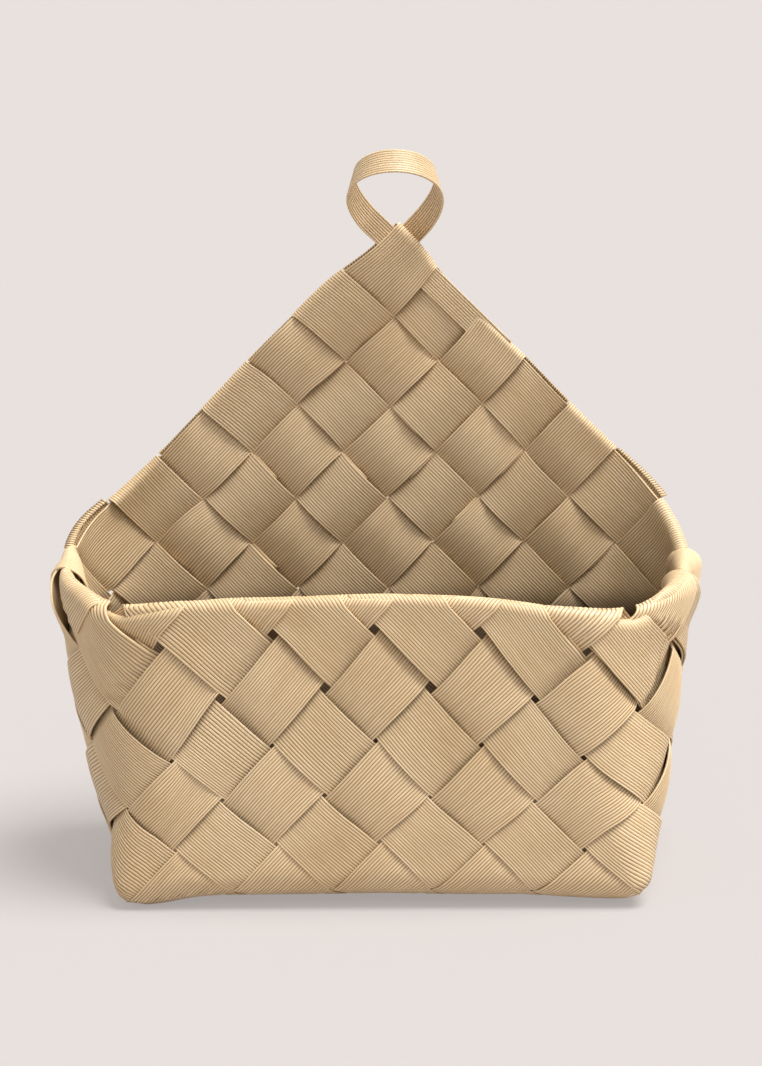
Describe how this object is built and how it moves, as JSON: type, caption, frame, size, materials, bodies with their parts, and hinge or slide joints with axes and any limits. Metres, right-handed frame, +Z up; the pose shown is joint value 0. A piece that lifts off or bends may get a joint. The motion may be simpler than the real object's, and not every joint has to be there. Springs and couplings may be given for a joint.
{
  "type": "wall basket",
  "caption": "Wall basket plaited on the bias from wide flat ribbed bands, with a low front, a back that rises to a point and a band loop at the top to hang it by.",
  "frame": {"origin": "centre of the bounding box's underside, where the floor rests", "axes": "+Z up to the loop, +X to the right as seen from the front, -Y towards the front and +Y towards the wall it hangs on"},
  "size_m": [0.3262, 0.1554, 0.371],
  "materials": {
    "falling_band_1": "ribbed band of pale tan paper cord, matt with a faint sheen",
    "falling_band_2": "ribbed band of pale tan paper cord, matt with a faint sheen",
    "falling_band_3": "ribbed band of pale tan paper cord, matt with a faint sheen",
    "falling_band_4": "ribbed band of pale tan paper cord, matt with a faint sheen",
    "falling_band_5": "ribbed band of pale tan paper cord, matt with a faint sheen",
    "falling_band_6": "ribbed band of pale tan paper cord, matt with a faint sheen",
    "falling_band_7": "ribbed band of pale tan paper cord, matt with a faint sheen",
    "falling_band_8": "ribbed band of pale tan paper cord, matt with a faint sheen",
    "rising_band_1": "ribbed band of pale tan paper cord, matt with a faint sheen",
    "rising_band_2": "ribbed band of pale tan paper cord, matt with a faint sheen",
    "rising_band_3": "ribbed band of pale tan paper cord, matt with a faint sheen",
    "rising_band_4": "ribbed band of pale tan paper cord, matt with a faint sheen",
    "rising_band_5": "ribbed band of pale tan paper cord, matt with a faint sheen",
    "rising_band_6": "ribbed band of pale tan paper cord, matt with a faint sheen",
    "rising_band_7": "ribbed band of pale tan paper cord, matt with a faint sheen",
    "rising_band_8": "ribbed band of pale tan paper cord, matt with a faint sheen",
    "hanging_loop": "ribbed band of pale tan paper cord, matt with a faint sheen"
  },
  "bodies": {
    "root": {"falling_band_1": "falling_band_1", "falling_band_2": "falling_band_2", "falling_band_3": "falling_band_3", "falling_band_4": "falling_band_4", "falling_band_5": "falling_band_5", "falling_band_6": "falling_band_6", "falling_band_7": "falling_band_7", "falling_band_8": "falling_band_8", "rising_band_1": "rising_band_1", "rising_band_2": "rising_band_2", "rising_band_3": "rising_band_3", "rising_band_4": "rising_band_4", "rising_band_5": "rising_band_5", "rising_band_6": "rising_band_6", "rising_band_7": "rising_band_7", "rising_band_8": "rising_band_8", "hanging_loop": "hanging_loop"}
  },
  "joints": []
}
